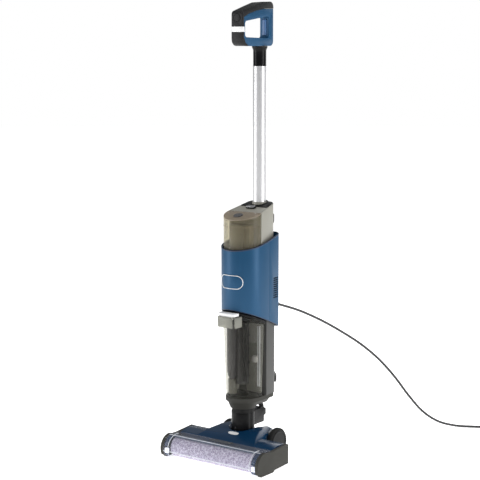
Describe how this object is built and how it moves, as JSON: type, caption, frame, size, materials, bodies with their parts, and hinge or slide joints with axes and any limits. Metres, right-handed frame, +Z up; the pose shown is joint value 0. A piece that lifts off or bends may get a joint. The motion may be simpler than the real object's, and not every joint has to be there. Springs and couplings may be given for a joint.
{
  "type": "wet dry floor scrubber",
  "caption": "Upright corded wet dry floor scrubber: wide roller head, tilting neck, two stacked water tanks in a sleeve, tube and loop grip.",
  "frame": {"origin": "on the floor, under the centre of the machine's box measured without its cord", "axes": "+Z up, -Y towards the front where the roller is, +X to the right of a viewer who faces the machine's front"},
  "size_m": [0.672, 0.9125, 1.179],
  "materials": {
    "satin_blue": "satin",
    "dark_grey_plastic": "matt",
    "mid_grey_plastic": "semi gloss",
    "light_grey_plastic": "matt",
    "black_plastic": "semi gloss",
    "black_rubber": "matt",
    "white_plastic": "gloss",
    "pale_translucent": "gloss",
    "light_blue_plastic": "satin",
    "lamp_lens": "gloss",
    "clear_plastic": "gloss, see-through",
    "smoke_plastic": "gloss, smoke tint",
    "dark_smoke_plastic": "gloss",
    "steel": "brushed",
    "brushed_aluminium": "brushed",
    "brass": "plain",
    "microfibre_nap": "short nap",
    "filter_foam": "open foam"
  },
  "bodies": {
    "head": {"chassis": "dark_grey_plastic", "head_cover": "satin_blue", "side_cap_left": "dark_grey_plastic", "side_cap_right": "dark_grey_plastic", "headlight_left": "lamp_lens", "headlight_right": "lamp_lens", "brush_motor": "steel", "drive_belt": "black_rubber", "squeegee": "black_rubber"},
    "window": {"brush_window": "clear_plastic"},
    "brush": {"brush_roller": "microfibre_nap", "roller_core": "light_grey_plastic", "roller_drive_end": "black_plastic", "roller_pull_end": "satin_blue"},
    "drive_pulley": {"motor_pulley": "brass"},
    "wheel_left": {"tyre_left": "black_rubber", "hub_left": "dark_grey_plastic"},
    "wheel_right": {"tyre_right": "black_rubber", "hub_right": "dark_grey_plastic"},
    "swivel": {"turntable": "dark_grey_plastic", "power_cord": "black_rubber", "cord_coil": "black_rubber", "plug": "black_plastic"},
    "upper": {"neck": "black_plastic", "neck_collar": "black_rubber", "suction_hose": "black_rubber", "rear_hose": "black_rubber", "base_cup": "dark_grey_plastic", "spine": "dark_grey_plastic", "housing_front": "satin_blue", "housing_rear": "satin_blue", "badge_plate": "white_plastic", "motor_bay": "black_plastic", "suction_motor": "steel", "water_pump": "black_plastic", "spine_top": "mid_grey_plastic", "wand_tube": "brushed_aluminium", "wand_collar": "black_plastic", "grip_cover": "black_plastic", "grip_frame": "satin_blue", "grip_band": "white_plastic", "cord_hook_lower": "dark_grey_plastic", "cord_gland": "black_rubber"},
    "dirty_water_tank": {"dirty_tank": "clear_plastic", "dirty_tank_lid": "black_plastic", "separator": "dark_smoke_plastic", "tank_filter": "filter_foam", "tank_grip": "pale_translucent"},
    "float": {"float_ball": "light_grey_plastic"},
    "tank_button": {"tank_release": "white_plastic"},
    "clean_water_tank": {"clean_tank": "smoke_plastic", "clean_tank_lid": "smoke_plastic", "tank_valve": "black_rubber"},
    "cap": {"filler_cap": "dark_smoke_plastic"},
    "latch": {"tank_latch": "black_plastic"},
    "fan": {"impeller": "light_grey_plastic"},
    "upper_hook": {"cord_hook_upper": "black_plastic"},
    "power": {"power_button": "black_plastic"},
    "trigger": {"spray_trigger": "light_blue_plastic"}
  },
  "joints": [
    {"name": "window_release", "type": "slide", "parent": "head", "child": "window", "axis": [0, -1, 0], "range_m": [0, 0.08]},
    {"name": "brush_spin", "type": "hinge", "parent": "head", "child": "brush", "pos_m": [0, -0.1, 0.0268], "axis": [1, 0, 0], "continuous": true},
    {"name": "pulley_spin", "type": "hinge", "parent": "head", "child": "drive_pulley", "pos_m": [-0.139, -0.028, 0.034], "axis": [1, 0, 0], "continuous": true},
    {"name": "wheel_left_spin", "type": "hinge", "parent": "head", "child": "wheel_left", "pos_m": [-0.077, 0.061, 0.037], "axis": [1, 0, 0], "continuous": true},
    {"name": "wheel_right_spin", "type": "hinge", "parent": "head", "child": "wheel_right", "pos_m": [0.077, 0.061, 0.037], "axis": [1, 0, 0], "continuous": true},
    {"name": "neck_swivel", "type": "hinge", "parent": "head", "child": "swivel", "pos_m": [0, 0.017, 0], "axis": [0, 0, 1], "range_deg": [-15, 15]},
    {"name": "neck_tilt", "type": "hinge", "parent": "swivel", "child": "upper", "pos_m": [0, 0.046, 0.043], "axis": [-1, 0, 0], "range_deg": [0, 65], "deforming": ["power_cord", "suction_hose"]},
    {"name": "dirty_tank_removal", "type": "slide", "parent": "upper", "child": "dirty_water_tank", "axis": [0, -1, 0], "range_m": [0, 0.15]},
    {"name": "float_rise", "type": "slide", "parent": "dirty_water_tank", "child": "float", "axis": [0, 0, 1], "range_m": [0, 0.06]},
    {"name": "tank_release_press", "type": "slide", "parent": "dirty_water_tank", "child": "tank_button", "axis": [0, 0, -1], "range_m": [0, 0.0025], "stiffness_N_per_m": 600, "springref_m": -0.002},
    {"name": "clean_tank_removal", "type": "slide", "parent": "upper", "child": "clean_water_tank", "axis": [0, 0, 1], "range_m": [0, 0.12]},
    {"name": "filler_cap_turn", "type": "hinge", "parent": "clean_water_tank", "child": "cap", "pos_m": [0, -0.004, 0.63562], "axis": [0, -0.2425, 0.9701], "range_deg": [0, 90]},
    {"name": "tank_latch_slide", "type": "slide", "parent": "upper", "child": "latch", "axis": [0, 0.9701, 0.2425], "range_m": [0, 0.005], "stiffness_N_per_m": 400, "springref_m": -0.002},
    {"name": "fan_spin", "type": "hinge", "parent": "upper", "child": "fan", "pos_m": [0, 0.017, 0.45], "axis": [0, 0, 1], "continuous": true},
    {"name": "upper_hook_turn", "type": "hinge", "parent": "upper", "child": "upper_hook", "pos_m": [0, 0.12, 0.606], "axis": [0, 1, 0], "range_deg": [0, 180]},
    {"name": "power_press", "type": "slide", "parent": "upper", "child": "power", "axis": [0, 1, 0], "range_m": [0, 0.0015], "stiffness_N_per_m": 800, "springref_m": -0.002},
    {"name": "trigger_pull", "type": "slide", "parent": "upper", "child": "trigger", "axis": [0, 1, 0], "range_m": [0, 0.0035], "stiffness_N_per_m": 500, "springref_m": -0.003}
  ],
  "couplings": [
    {"joint": "pulley_spin", "follows": "brush_spin", "ratio": 2.2857}
  ]
}
